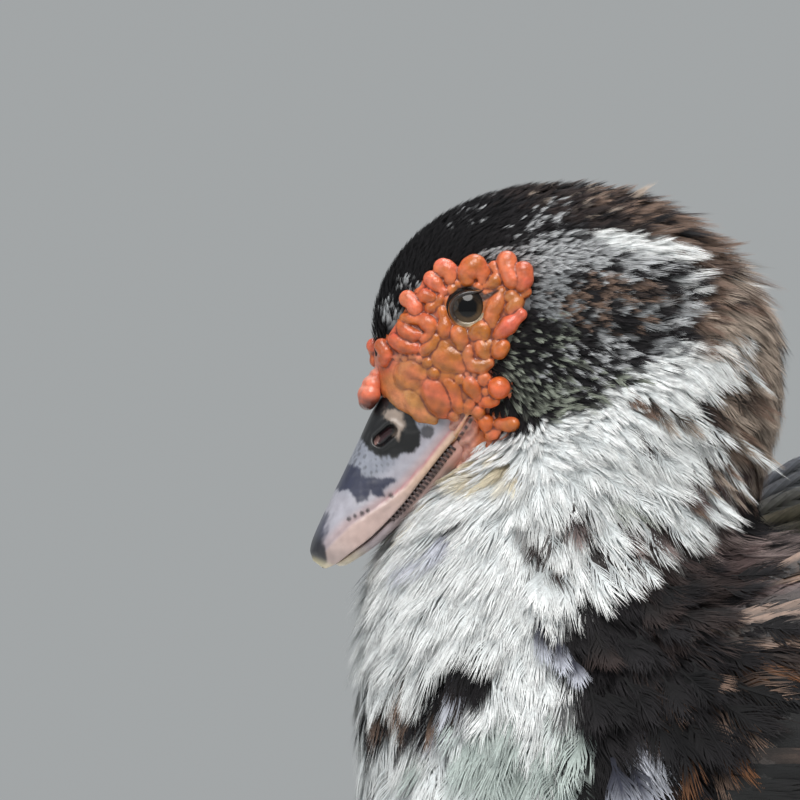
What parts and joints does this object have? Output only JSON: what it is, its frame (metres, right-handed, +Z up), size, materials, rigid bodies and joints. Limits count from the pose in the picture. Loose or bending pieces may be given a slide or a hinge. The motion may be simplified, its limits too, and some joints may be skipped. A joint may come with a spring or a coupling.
{
  "type": "muscovy duck",
  "caption": "Standing muscovy duck with its neck drawn in and bill lowered, bare knobbly face and folded wings; life size still model.",
  "frame": {"origin": "on the floor under the middle of the whole duck's bounding box", "axes": "+X towards the tail, +Y towards the duck's right side, +Z up"},
  "size_m": [0.57, 0.2144, 0.368],
  "materials": {
    "dark_plumage": "soft charcoal-brown body feathers with frayed paler edges",
    "white_plumage": "loose white breast and neck feathers with visible barbs",
    "head_plumage": "short black, grey and white flecked head feathers",
    "flight_feather": "stiff dark flight and tail feathers with a slight green sheen",
    "caruncle": "moist bare skin, orange near the eye to coral red at the brow",
    "bill": "satin horn, pale pink with slate patches and a dark nail",
    "eye": "wet dark brown iris with a black pupil under a clear cornea",
    "foot_skin": "scaled olive-grey skin",
    "claw": "dark horn"
  },
  "bodies": {
    "root": {"head": "head_plumage", "neck": "white_plumage", "torso": "dark_plumage", "forehead_knob": "caruncle", "bill_upper": "bill", "bill_lower": "bill", "eye_left": "eye", "caruncles_left": "caruncle", "wing_left": "flight_feather", "thigh_left": "dark_plumage", "shank_left": "foot_skin", "foot_left": "foot_skin", "claw_inner_left": "claw", "claw_middle_left": "claw", "claw_outer_left": "claw", "claw_hind_left": "claw", "eye_right": "eye", "caruncles_right": "caruncle", "wing_right": "flight_feather", "thigh_right": "dark_plumage", "shank_right": "foot_skin", "foot_right": "foot_skin", "claw_inner_right": "claw", "claw_middle_right": "claw", "claw_outer_right": "claw", "claw_hind_right": "claw", "tail": "flight_feather"}
  },
  "joints": []
}
